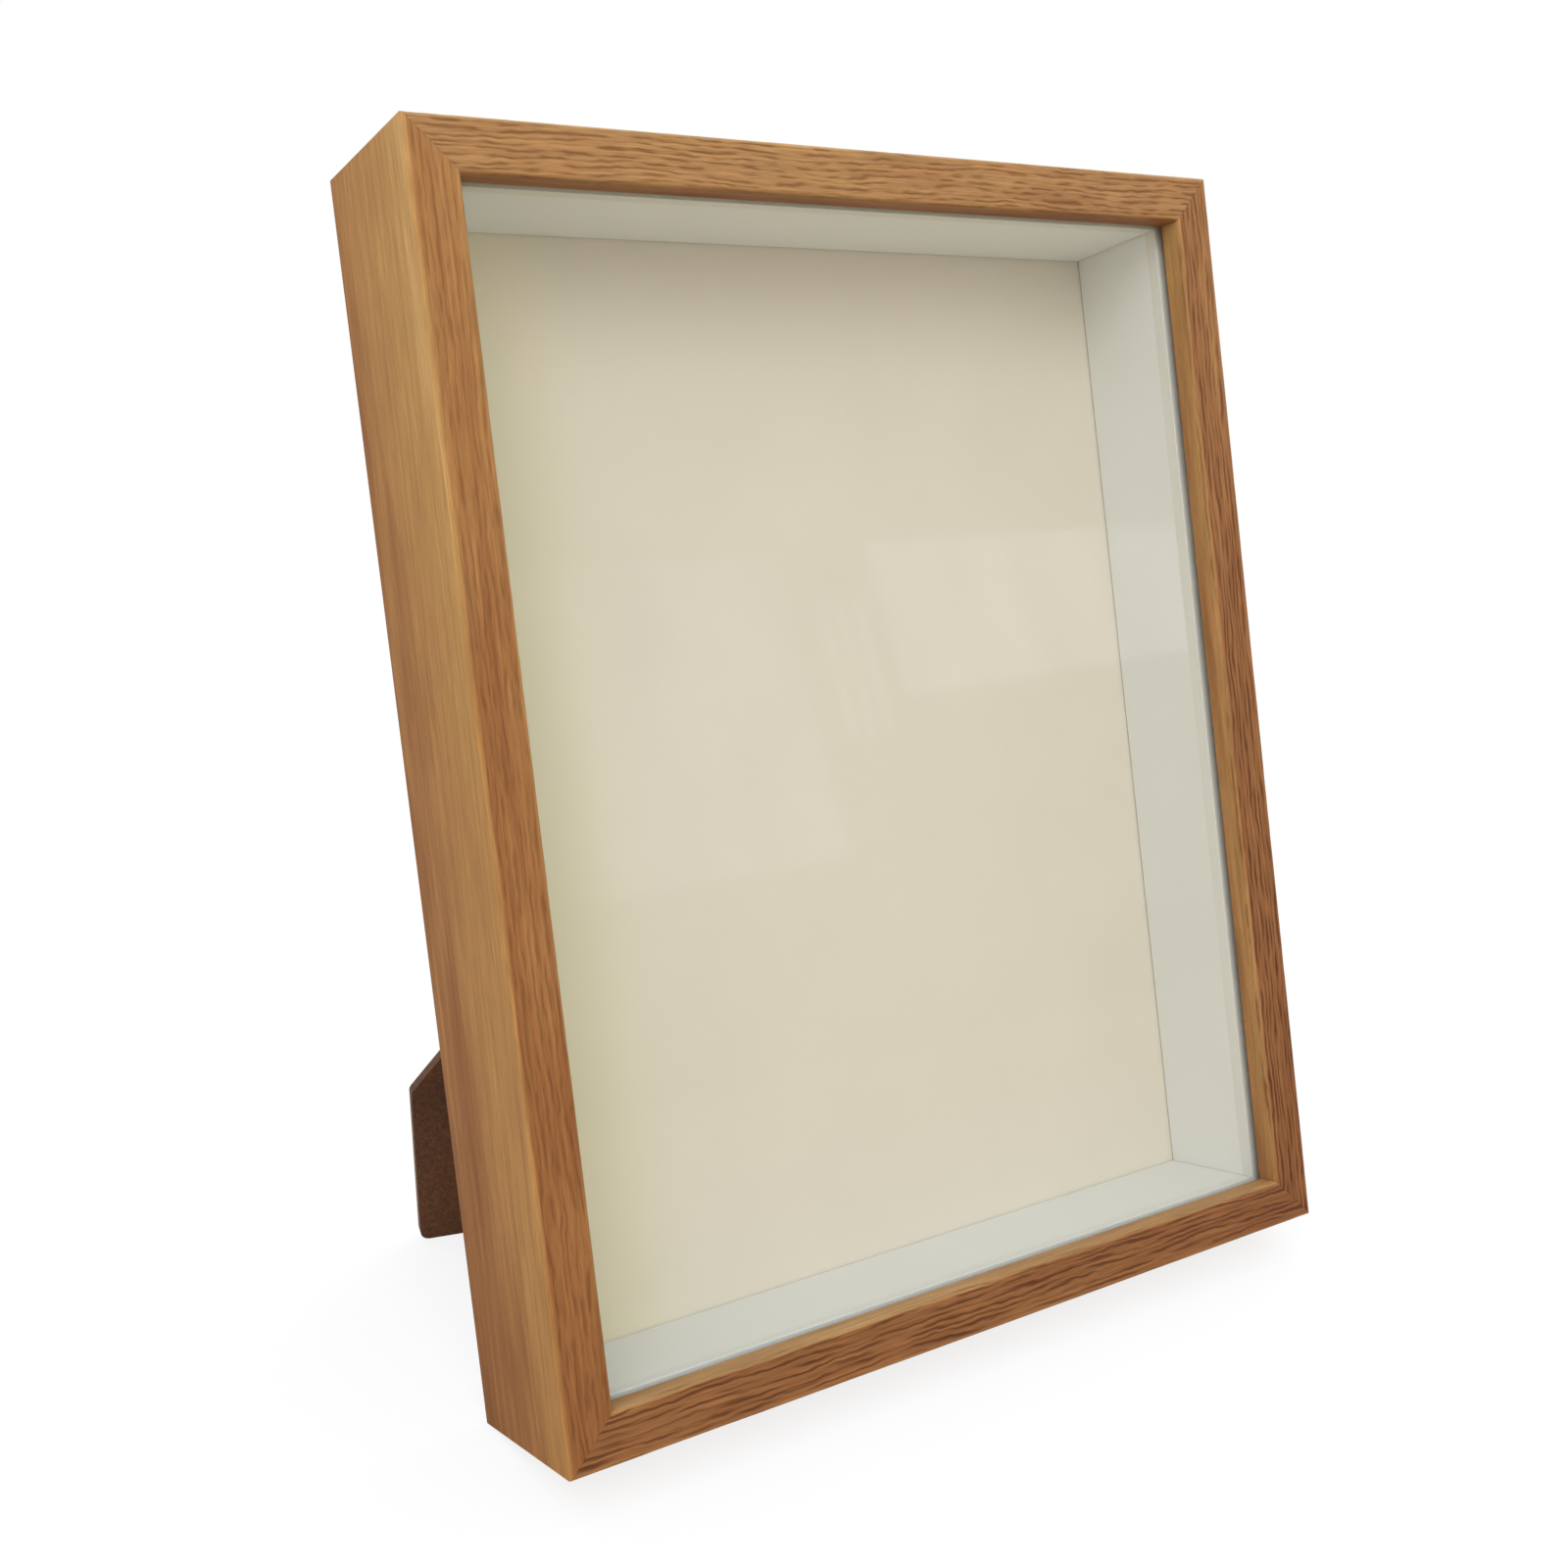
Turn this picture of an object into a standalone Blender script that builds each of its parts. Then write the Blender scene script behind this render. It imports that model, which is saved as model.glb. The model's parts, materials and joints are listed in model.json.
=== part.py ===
"""Shadow box for an eight by ten inch insert, standing on its easel leg.

A mitred moulding holds a stack from front to back: lip, glass, four spacer strips, display
board and back board.  Six turn buttons on the back of the moulding hold the stack in.  A two-way
leg is hinged to the back board.  Its long foot edge stands the box upright and its short one
stands it on its left side.

Every piece is laid out in the frame's own axes: X to the right, Y backwards from the front face
and Z up from the underside.  The empty "frame_lean" then tips them all back, so the box rests on
its lower back edge and on the foot of the leg.
"""

import math

import bmesh
import bpy
from mathutils import Euler, Matrix, Vector

for old in list(bpy.data.objects):
    bpy.data.objects.remove(old, do_unlink=True)

MM = 0.001
GAP = 0.3 * MM                       # left between pieces that touch

# ---- driving dimensions -------------------------------------------------------------------
OUTER_WIDTH = 220.0 * MM
OUTER_HEIGHT = 272.0 * MM
LEAN = math.radians(13.5)            # how far the top leans back

FACE_WIDTH = 11.2 * MM               # front face of the moulding
WALL = 7.8 * MM                      # moulding behind the rebate
LIP_THICKNESS = 5.8 * MM             # moulding in front of the glass
ARRIS = 0.5 * MM                     # softened front edges

GLASS_THICKNESS = 2.0 * MM
SPACER_DEPTH = 28.3 * MM             # front to back
SPACER_THICKNESS = 3.1 * MM          # its inner face is level with the lip's edge
DISPLAY_BOARD_THICKNESS = 2.2 * MM
BACK_BOARD_THICKNESS = 3.0 * MM
INSERT_CLEARANCE = 0.6 * MM          # round the glass and the boards

LEG_THICKNESS = 3.0 * MM
LEG_TOP_WIDTH = 30.0 * MM
LEG_TAPER = math.radians(12.7)       # each side, widening to the foot
LEG_CORNER = 2.5 * MM
LEG_OPENING = math.radians(28.0)
HINGE_TILT = math.radians(25.0)      # right end low, so the leg points down and to the left
HINGE_RIGHT = -5.2 * MM              # hinge centre, from the middle of the back board
HINGE_UP = 14.0 * MM

PIN_RADIUS = 1.0 * MM
PIN_CLEARANCE = 0.25 * MM
HINGE_SHEET = 0.8 * MM
HINGE_WIDTH = 24.0 * MM
HINGE_LEAF_LENGTH = 15.0 * MM
KNUCKLES = 5
RIVET_RADIUS = 1.3 * MM
RIVET_HEAD_RADIUS = 2.5 * MM
RIVET_HEAD_HEIGHT = 1.0 * MM
RIVET_SPREAD = 14.0 * MM             # between the two rivets of a leaf
RIVET_FROM_PIN = 9.5 * MM
RIVET_DEPTH = 2.2 * MM               # shank below the face it is driven into

BUTTON_THICKNESS = 0.8 * MM
BUTTON_ROUND = 3.2 * MM              # radius of the end round the screw
BUTTON_TIP = 2.6 * MM                # radius of the tip
BUTTON_REACH = 11.0 * MM             # screw to the centre of the tip
BUTTON_FROM_CORNER = 75.0 * MM       # on the stiles
SCREW_RADIUS = 1.2 * MM
SCREW_HEAD_RADIUS = 2.5 * MM
SCREW_HEAD_HEIGHT = 1.1 * MM
SCREW_DEPTH = 9.0 * MM

HANGER_LENGTH = 42.0 * MM
HANGER_HEIGHT = 6.6 * MM
HANGER_SHEET = 0.8 * MM
HANGER_BULGE = 1.4 * MM              # how far the toothed middle stands off the wood
HANGER_TEETH = 11
HANGER_TOOTH = 1.3 * MM
HANGER_NAIL_SPREAD = 35.0 * MM
NAIL_RADIUS = 0.7 * MM
NAIL_HEAD_RADIUS = 1.7 * MM
NAIL_HEAD_HEIGHT = 0.7 * MM
NAIL_DEPTH = 7.0 * MM

V_NAIL_SHEET = 0.6 * MM
V_NAIL_LEG = 3.0 * MM
V_NAIL_HEIGHT = 10.0 * MM
V_NAIL_HALF_ANGLE = math.radians(58.0)

# ---- what follows from them ---------------------------------------------------------------
GLASS_FRONT = LIP_THICKNESS + GAP
SPACER_FRONT = GLASS_FRONT + GLASS_THICKNESS + GAP
DISPLAY_FRONT = SPACER_FRONT + SPACER_DEPTH + GAP
BACK_BOARD_FRONT = DISPLAY_FRONT + DISPLAY_BOARD_THICKNESS + GAP
FRAME_DEPTH = BACK_BOARD_FRONT + BACK_BOARD_THICKNESS        # the back board lies flush
INSERT_EDGE = WALL + INSERT_CLEARANCE
SPACER_OUTER = WALL + GAP
SPACER_INNER = SPACER_OUTER + SPACER_THICKNESS

KNUCKLE_BORE = PIN_RADIUS + PIN_CLEARANCE
KNUCKLE_RADIUS = KNUCKLE_BORE + HINGE_SHEET
LEG_BACK = KNUCKLE_BORE - GAP        # the leg's faces, measured from the pin
LEG_FRONT = LEG_BACK - LEG_THICKNESS
LEG_TOP = -(KNUCKLE_RADIUS + 0.5 * MM)
PIN_STAND_OFF = max(KNUCKLE_RADIUS, -LEG_FRONT) + GAP
HINGE_X = HINGE_RIGHT
HINGE_Y = FRAME_DEPTH + PIN_STAND_OFF
HINGE_Z = OUTER_HEIGHT / 2 + HINGE_UP

MATERIALS = {
    "oak_foil": ((0.34, 0.17, 0.065), 0.55, 0.0),
    "spacer_white": ((0.72, 0.70, 0.64), 0.7, 0.0),
    "display_cream": ((0.66, 0.60, 0.49), 0.85, 0.0),
    "clear_glass": ((0.9, 0.94, 0.93), 0.03, 0.0),
    "brown_hardboard": ((0.075, 0.032, 0.017), 0.6, 0.0),
    "zinc_steel": ((0.62, 0.62, 0.6), 0.35, 1.0),
    "brass_plated_steel": ((0.65, 0.5, 0.24), 0.3, 1.0),
}


# ---- building blocks ----------------------------------------------------------------------
def material(name):
    """The named finish as a Principled BSDF, made once."""
    found = bpy.data.materials.get(name)
    if found:
        return found
    colour, roughness, metallic = MATERIALS[name]
    made = bpy.data.materials.new(name)
    made.use_nodes = True
    shader = made.node_tree.nodes["Principled BSDF"]
    shader.inputs["Base Color"].default_value = (*colour, 1.0)
    shader.inputs["Roughness"].default_value = roughness
    shader.inputs["Metallic"].default_value = metallic
    return made


def empty(name, parent=None, location=(0, 0, 0), rotation=(0, 0, 0)):
    """A bare pivot that carries other pieces."""
    pivot = bpy.data.objects.new(name, None)
    bpy.context.collection.objects.link(pivot)
    pivot.parent = parent
    pivot.location = location
    pivot.rotation_euler = rotation
    return pivot


def piece(name, shape, finish, parent, location=(0, 0, 0), rotation=(0, 0, 0), smooth=False):
    """Turn a bmesh into a named object with its own finish."""
    bmesh.ops.recalc_face_normals(shape, faces=shape.faces)
    mesh = bpy.data.meshes.new(name)
    shape.to_mesh(mesh)
    shape.free()
    made = bpy.data.objects.new(name, mesh)
    bpy.context.collection.objects.link(made)
    made.parent = parent
    made.location = location
    made.rotation_euler = rotation
    mesh.materials.append(material(finish))
    if smooth:
        mesh.shade_smooth()
        mesh.set_sharp_from_angle(angle=math.radians(35))
    return made


def tool(name, shape, parent, location=(0, 0, 0), rotation=(0, 0, 0)):
    """A shape that only cuts or joins another: never a piece of its own."""
    made = piece(name, shape, "zinc_steel", parent, location, rotation)
    made.hide_render = True
    made.display_type = "WIRE"
    return made


def combine(target, tools, operation="DIFFERENCE"):
    """Cut the tools out of the target, or join them to it."""
    for number, other in enumerate(tools):
        change = target.modifiers.new(f"{operation.lower()}_{number}", "BOOLEAN")
        change.operation = operation
        change.solver = "EXACT"
        change.object = other


def box(low, high):
    """A plain box between two corners."""
    shape = bmesh.new()
    size = [high[axis] - low[axis] for axis in range(3)]
    middle = [(high[axis] + low[axis]) / 2 for axis in range(3)]
    bmesh.ops.create_cube(shape, size=1.0)
    bmesh.ops.scale(shape, vec=size, verts=shape.verts)
    bmesh.ops.translate(shape, vec=middle, verts=shape.verts)
    return shape


def plate(outline, front, back):
    """An outline of (x, z) points, extruded in Y between two depths."""
    shape = bmesh.new()
    near = [shape.verts.new((x, front, z)) for x, z in outline]
    far = [shape.verts.new((x, back, z)) for x, z in outline]
    shape.faces.new(near)
    shape.faces.new(reversed(far))
    count = len(outline)
    for index in range(count):
        after = (index + 1) % count
        shape.faces.new((near[index], far[index], far[after], near[after]))
    return shape


def lathe(profile, sides=20):
    """Turn (radius, y) points about the Y axis; the first and last lie on the axis."""
    shape = bmesh.new()
    rings = []
    for radius, depth in profile:
        if radius == 0.0:
            rings.append([shape.verts.new((0.0, depth, 0.0))])
            continue
        turns = [2 * math.pi * side / sides for side in range(sides)]
        ring = [(radius * math.cos(turn), depth, radius * math.sin(turn)) for turn in turns]
        rings.append([shape.verts.new(point) for point in ring])
    for inner, outer in zip(rings, rings[1:]):
        for side in range(sides):
            after = (side + 1) % sides
            corners = [inner[side % len(inner)], outer[side % len(outer)]]
            corners += [outer[after % len(outer)], inner[after % len(inner)]]
            shape.faces.new(dict.fromkeys(corners))
    return shape


def ring_along_x(inner_radius, outer_radius, start, end, sides=24):
    """A tube along the X axis."""
    shape = bmesh.new()
    loops = []
    for radius, along in (
        (outer_radius, start),
        (outer_radius, end),
        (inner_radius, end),
        (inner_radius, start),
    ):
        turns = [2 * math.pi * (side + 0.5) / sides for side in range(sides)]
        ring = [(along, radius * math.cos(turn), radius * math.sin(turn)) for turn in turns]
        loops.append([shape.verts.new(point) for point in ring])
    for index, loop in enumerate(loops):
        follower = loops[(index + 1) % len(loops)]
        for side in range(sides):
            after = (side + 1) % sides
            shape.faces.new((loop[side], loop[after], follower[after], follower[side]))
    return shape


def rounded(corners, radius, steps=4):
    """The outline with each corner replaced by an arc."""
    outline = []
    count = len(corners)
    for index, corner in enumerate(corners):
        here = Vector(corner)
        before = (Vector(corners[index - 1]) - here).normalized()
        after = (Vector(corners[(index + 1) % count]) - here).normalized()
        half = before.angle(after) / 2
        reach = radius / math.tan(half)
        centre = here + (before + after).normalized() * radius / math.sin(half)
        start = here + before * reach - centre
        end = here + after * reach - centre
        sweep = math.pi - 2 * half
        for step in range(steps + 1):
            share = step / steps
            along = math.sin((1 - share) * sweep) * start + math.sin(share * sweep) * end
            outline.append(tuple(centre + along / math.sin(sweep)))
    return outline


# ---- moulding -----------------------------------------------------------------------------
def moulding_section():
    """(inward, backward) corners of the L section, round from the outer front arris."""
    return [
        (0.0, ARRIS),
        (ARRIS, 0.0),
        (FACE_WIDTH - ARRIS, 0.0),
        (FACE_WIDTH, ARRIS),
        (FACE_WIDTH, LIP_THICKNESS),
        (WALL, LIP_THICKNESS),
        (WALL, FRAME_DEPTH),
        (0.0, FRAME_DEPTH),
    ]


def mitred_length(length):
    """One member along X, its underside outward, with a 45 degree mitre at each end."""
    shape = bmesh.new()
    section = moulding_section()
    half = length / 2
    trim = GAP / math.sqrt(2)
    ends = []
    for side in (-1, 1):
        ring = [(side * (half - inward - trim), back, inward) for inward, back in section]
        ends.append([shape.verts.new(point) for point in ring])
    count = len(section)
    for index in range(count):
        after = (index + 1) % count
        corners = (ends[0][index], ends[0][after], ends[1][after], ends[1][index])
        shape.faces.new(corners)
    shape.faces.new(ends[0])
    shape.faces.new(reversed(ends[1]))
    return shape


def member_seats():
    """Name, length, middle of the outer edge and turn about Y of each moulding member."""
    half_width = OUTER_WIDTH / 2
    middle = OUTER_HEIGHT / 2
    return {
        "rail_bottom": (OUTER_WIDTH, (0, 0, 0), 0.0),
        "stile_right": (OUTER_HEIGHT, (half_width, 0, middle), -math.pi / 2),
        "rail_top": (OUTER_WIDTH, (0, 0, OUTER_HEIGHT), math.pi),
        "stile_left": (OUTER_HEIGHT, (-half_width, 0, middle), math.pi / 2),
    }


def button_seats():
    """Member, place of the screw on the back face and turn about Y of each button."""
    edge = WALL / 2
    side = OUTER_WIDTH / 2 - edge
    low = BUTTON_FROM_CORNER
    high = OUTER_HEIGHT - BUTTON_FROM_CORNER
    return [
        ("stile_left", (-side, FRAME_DEPTH, low), -math.pi / 2),
        ("stile_left", (-side, FRAME_DEPTH, high), -math.pi / 2),
        ("stile_right", (side, FRAME_DEPTH, low), math.pi / 2),
        ("stile_right", (side, FRAME_DEPTH, high), math.pi / 2),
        ("rail_bottom", (0, FRAME_DEPTH, edge), math.pi),
        ("rail_top", (0, FRAME_DEPTH, OUTER_HEIGHT - edge), 0.0),
    ]


def hanger_seats():
    """Member, centre on the back face and turn about Y of each sawtooth hanger.

    The upright one stands beside the turn button of the top rail; the other is half way up the
    right stile, which is the top when the box stands on its left side.
    """
    edge = WALL / 2
    beside = OUTER_WIDTH / 4
    return {
        "portrait": ("rail_top", (beside, FRAME_DEPTH, OUTER_HEIGHT - edge), 0.0),
        "landscape": ("stile_right", (OUTER_WIDTH / 2 - edge, FRAME_DEPTH, OUTER_HEIGHT / 2), math.pi / 2),
    }


def corner_seats():
    """Place and turn about Y of the V nail at each corner, open side inward."""
    reach = WALL * 0.52
    across = OUTER_WIDTH / 2 - reach
    low = reach
    high = OUTER_HEIGHT - reach
    return {
        "bottom_left": ((-across, 0, low), math.radians(45), "rail_bottom", "stile_left"),
        "bottom_right": ((across, 0, low), math.radians(-45), "rail_bottom", "stile_right"),
        "top_right": ((across, 0, high), math.radians(-135), "rail_top", "stile_right"),
        "top_left": ((-across, 0, high), math.radians(135), "rail_top", "stile_left"),
    }


def chevron(clearance):
    """The V nail's outline, its apex down, grown all round by the clearance."""
    reach = V_NAIL_LEG + clearance
    half = V_NAIL_SHEET / 2 + clearance
    run = Vector((math.sin(V_NAIL_HALF_ANGLE), math.cos(V_NAIL_HALF_ANGLE)))
    side = Vector((run.y, -run.x))
    low = -half / math.sin(V_NAIL_HALF_ANGLE)
    right_low = run * reach + side * half
    right_high = run * reach - side * half
    left_high = (-right_high.x, right_high.y)
    left_low = (-right_low.x, right_low.y)
    return [(0, low), tuple(right_low), tuple(right_high), (0, -low), left_high, left_low]


def drilled(name, radius, depth, parent, location):
    """A drill that enters the back face at the location and stops at the depth."""
    entry = 1.0 * MM
    shape = lathe([(0.0, -depth), (radius, -depth), (radius, entry), (0.0, entry)], 16)
    return tool(name, shape, parent, location)


def build_moulding(frame):
    """Four mitred members with their screw, nail and V nail seats."""
    cuts = {name: [] for name in member_seats()}
    for number, (member, place, _) in enumerate(button_seats(), 1):
        drill = drilled(f"drill_button_{number}", SCREW_RADIUS + GAP, SCREW_DEPTH + GAP, frame, place)
        cuts[member].append(drill)
    for hanger, (member, place, turn) in hanger_seats().items():
        for side in (-1, 1):
            along = Vector((side * HANGER_NAIL_SPREAD / 2, 0, 0))
            along.rotate(Euler((0, turn, 0)))
            where = Vector(place) + along
            label = f"drill_{hanger}_{'a' if side < 0 else 'b'}"
            cuts[member].append(drilled(label, NAIL_RADIUS + GAP, NAIL_DEPTH + GAP, frame, where))
    for corner, (place, turn, rail, stile) in corner_seats().items():
        start = FRAME_DEPTH - V_NAIL_HEIGHT - 2 * GAP
        slot = plate(chevron(GAP), start, FRAME_DEPTH + 1.0 * MM)
        cutter = tool(f"slot_{corner}", slot, frame, place, (0, turn, 0))
        cuts[rail].append(cutter)
        cuts[stile].append(cutter)
    for name, (length, place, turn) in member_seats().items():
        member = piece(name, mitred_length(length), "oak_foil", frame, place, (0, turn, 0))
        combine(member, cuts[name])


def build_corner_nails(frame):
    """A V nail across each mitre, pressed in from the back and just under the face."""
    front = FRAME_DEPTH - GAP - V_NAIL_HEIGHT
    for corner, (place, turn, _, _) in corner_seats().items():
        shape = plate(chevron(0.0), front, FRAME_DEPTH - GAP)
        piece(f"v_nail_{corner}", shape, "zinc_steel", frame, place, (0, turn, 0))


# ---- what the moulding holds --------------------------------------------------------------
def sheet(name, front, thickness, finish, frame):
    """A sheet that drops into the rebate with clearance all round."""
    half = OUTER_WIDTH / 2 - INSERT_EDGE
    low = (-half, front, INSERT_EDGE)
    high = (half, front + thickness, OUTER_HEIGHT - INSERT_EDGE)
    return piece(name, box(low, high), finish, frame)


def build_stack(frame):
    """Glass, the four spacer strips, the display board and the back board."""
    sheet("glass_pane", GLASS_FRONT, GLASS_THICKNESS, "clear_glass", frame)
    sheet("display_board", DISPLAY_FRONT, DISPLAY_BOARD_THICKNESS, "display_cream", frame)
    outer = OUTER_WIDTH / 2 - SPACER_OUTER
    inner = OUTER_WIDTH / 2 - SPACER_INNER
    top = OUTER_HEIGHT - SPACER_OUTER
    under = OUTER_HEIGHT - SPACER_INNER
    back = SPACER_FRONT + SPACER_DEPTH
    strips = {
        "spacer_left": ((-outer, SPACER_FRONT, SPACER_OUTER), (-inner, back, top)),
        "spacer_right": ((inner, SPACER_FRONT, SPACER_OUTER), (outer, back, top)),
        "spacer_bottom": ((GAP - inner, SPACER_FRONT, SPACER_OUTER), (inner - GAP, back, SPACER_INNER)),
        "spacer_top": ((GAP - inner, SPACER_FRONT, under), (inner - GAP, back, top)),
    }
    for name, (low, high) in strips.items():
        piece(name, box(low, high), "spacer_white", frame)


# ---- leg and hinge ------------------------------------------------------------------------
def leg_point(across, back, up):
    """Frame coordinates of a point given in the open leg's own axes.

    across runs along the pin towards its low end, and up from the foot towards the pin.
    """
    turn = Euler((LEG_OPENING, HINGE_TILT, 0)).to_matrix()
    return Vector((HINGE_X, HINGE_Y, HINGE_Z)) + turn @ Vector((across, back, up))


def foot_line(edge):
    """down = start + slope * across, where the leg's front face meets the table.

    The table leans by LEAN from the frame's "under" side or, lying down, its "left" side.
    """
    def height(across, down):
        point = leg_point(across, LEG_FRONT, -down)
        behind = point.y - FRAME_DEPTH
        lift = point.z if edge == "under" else point.x + OUTER_WIDTH / 2
        return lift * math.cos(LEAN) - behind * math.sin(LEAN)

    level = height(0.0, 0.0)
    per_across = height(1.0, 0.0) - level
    per_down = height(0.0, 1.0) - level
    return -level / per_down, -per_across / per_down


def leg_corners():
    """(across, down) corners of the leg: two at the pin, three at the foot."""
    half = LEG_TOP_WIDTH / 2
    taper = math.tan(LEG_TAPER)
    upright, upright_slope = foot_line("under")
    lying, lying_slope = foot_line("left")
    tip = (lying - upright) / (upright_slope - lying_slope)
    right_down = (upright + upright_slope * half) / (1 - upright_slope * taper)
    left_down = (lying - lying_slope * half) / (1 + lying_slope * taper)
    return [
        (half - taper * LEG_TOP, -LEG_TOP),
        (half + taper * right_down, right_down),
        (tip, upright + upright_slope * tip),
        (-half - taper * left_down, left_down),
        (-half + taper * LEG_TOP, -LEG_TOP),
    ]


def leg_outline():
    """(x, z) outline in the leg's own axes; the foot corners are rounded, the foot edges straight."""
    return rounded([(across, -down) for across, down in leg_corners()], LEG_CORNER)


def rivet_places():
    """x of each rivet of a leaf."""
    return (-RIVET_SPREAD / 2, RIVET_SPREAD / 2)


def rivet_shape(shank):
    """A domed head on a plain shank, the underside of the head at y = 0."""
    head = RIVET_HEAD_RADIUS
    rise = RIVET_HEAD_HEIGHT
    end = -shank
    profile = [(0.0, end), (RIVET_RADIUS, end), (RIVET_RADIUS, 0.0), (head, 0.0)]
    profile += [(head * 0.94, rise * 0.45), (head * 0.7, rise * 0.82), (head * 0.36, rise * 0.97)]
    return lathe(profile + [(0.0, rise)], 16)


def knuckle_spans(first):
    """(start, end) along the pin of every second knuckle, from the first."""
    pitch = HINGE_WIDTH / KNUCKLES
    start = -HINGE_WIDTH / 2
    return [
        (start + pitch * number + GAP / 2, start + pitch * (number + 1) - GAP / 2)
        for number in range(first, KNUCKLES, 2)
    ]


def hinge_leaf(name, pivot, side, first):
    """A riveted leaf with its knuckles: side 1 runs up the board, side -1 down the leg.

    The board's leaf lies on the back board and the leg's leaf on the back of the leg, each just
    inside the knuckles' outer radius, and cut back beside the other leaf's knuckles.
    """
    inset = 0.02 * MM
    if side > 0:
        low_face = FRAME_DEPTH + GAP + inset - HINGE_Y
        high_face = low_face + HINGE_SHEET - inset
    else:
        low_face = KNUCKLE_BORE
        high_face = low_face + HINGE_SHEET - inset
    root = KNUCKLE_RADIUS + GAP
    ends = sorted((side * root, side * HINGE_LEAF_LENGTH))
    low = (-HINGE_WIDTH / 2, low_face, ends[0])
    high = (HINGE_WIDTH / 2, high_face, ends[1])
    leaf = piece(name, box(low, high), "zinc_steel", pivot)
    if side > 0:
        high_face = -KNUCKLE_BORE
    added = []
    for number, (start, end) in enumerate(knuckle_spans(first)):
        ends = sorted((0.0, side * (root + GAP)))
        tongue = box((start, low_face, ends[0]), (end, high_face, ends[1]))
        added.append(tool(f"{name}_tongue_{number}", tongue, pivot))
        ring = ring_along_x(KNUCKLE_BORE, KNUCKLE_RADIUS, start, end)
        added.append(tool(f"{name}_knuckle_{number}", ring, pivot))
    combine(leaf, added, "UNION")
    holes = []
    for number, along in enumerate(rivet_places()):
        reach = PIN_STAND_OFF
        radius = RIVET_RADIUS + GAP
        shape = lathe([(0.0, -reach), (radius, -reach), (radius, reach), (0.0, reach)], 16)
        place = (along, 0, side * RIVET_FROM_PIN)
        holes.append(tool(f"{name}_hole_{number}", shape, pivot, place))
    combine(leaf, holes)
    return leaf


def build_easel(frame):
    """Back board, leg, the hinge between them and its four rivets."""
    seat = empty("hinge_seat", frame, (HINGE_X, HINGE_Y, HINGE_Z), (0, HINGE_TILT, 0))
    pivot = empty("leg_pivot", frame, (HINGE_X, HINGE_Y, HINGE_Z), (LEG_OPENING, HINGE_TILT, 0))

    board = sheet("back_board", BACK_BOARD_FRONT, BACK_BOARD_THICKNESS, "brown_hardboard", frame)
    leg = piece("easel_leg", plate(leg_outline(), LEG_FRONT, LEG_BACK), "brown_hardboard", pivot)
    hinge_leaf("hinge_board_leaf", seat, 1, 0)
    hinge_leaf("hinge_leg_leaf", pivot, -1, 1)

    half = HINGE_WIDTH / 2
    pin = lathe([(0.0, -half), (PIN_RADIUS, -half), (PIN_RADIUS, half), (0.0, half)], 20)
    bmesh.ops.rotate(pin, verts=pin.verts, matrix=Matrix.Rotation(-math.pi / 2, 3, "Z"))
    piece("hinge_pin", pin, "zinc_steel", seat, smooth=True)

    board_back = FRAME_DEPTH - HINGE_Y
    grip = 2 * GAP + HINGE_SHEET             # from the drilled face to the head
    board_head = board_back + grip
    leg_head = LEG_BACK + grip
    shank = grip + RIVET_DEPTH
    board_drills = []
    leg_drills = []
    for label, along in zip("ab", rivet_places()):
        radius = RIVET_RADIUS + GAP
        depth = RIVET_DEPTH + GAP
        place = Vector((along, board_back, RIVET_FROM_PIN))
        board_drills.append(drilled(f"drill_board_{label}", radius, depth, seat, place))
        place = Vector((along, LEG_BACK, -RIVET_FROM_PIN))
        leg_drills.append(drilled(f"drill_leg_{label}", radius, depth, pivot, place))
        place = (along, board_head, RIVET_FROM_PIN)
        piece(f"rivet_board_{label}", rivet_shape(shank), "zinc_steel", seat, place, smooth=True)
        place = (along, leg_head, -RIVET_FROM_PIN)
        piece(f"rivet_leg_{label}", rivet_shape(shank), "zinc_steel", pivot, place, smooth=True)
    combine(board, board_drills)
    combine(leg, leg_drills)


# ---- turn buttons and hangers -------------------------------------------------------------
def button_outline():
    """A tongue round the screw, narrowing to its tip, which points down."""
    lean = math.asin((BUTTON_ROUND - BUTTON_TIP) / BUTTON_REACH)
    points = []
    steps = 10
    for step in range(steps + 1):
        turn = -lean + (math.pi + 2 * lean) * step / steps
        points.append((BUTTON_ROUND * math.cos(turn), BUTTON_ROUND * math.sin(turn)))
    for step in range(steps + 1):
        turn = math.pi + lean + (math.pi - 2 * lean) * step / steps
        points.append((BUTTON_TIP * math.cos(turn), -BUTTON_REACH + BUTTON_TIP * math.sin(turn)))
    return points


def screw_shape():
    """A pan head over a plain shank, the underside of the head at y = 0."""
    head = SCREW_HEAD_RADIUS
    rise = SCREW_HEAD_HEIGHT
    end = -(BUTTON_THICKNESS + 2 * GAP + SCREW_DEPTH)
    neck = end + 2 * SCREW_RADIUS
    profile = [(0.0, end), (SCREW_RADIUS, neck), (SCREW_RADIUS, 0.0), (head, 0.0)]
    profile += [(head, rise * 0.4), (head * 0.9, rise * 0.72), (head * 0.62, rise * 0.94)]
    return lathe(profile + [(0.0, rise)], 20)


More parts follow.
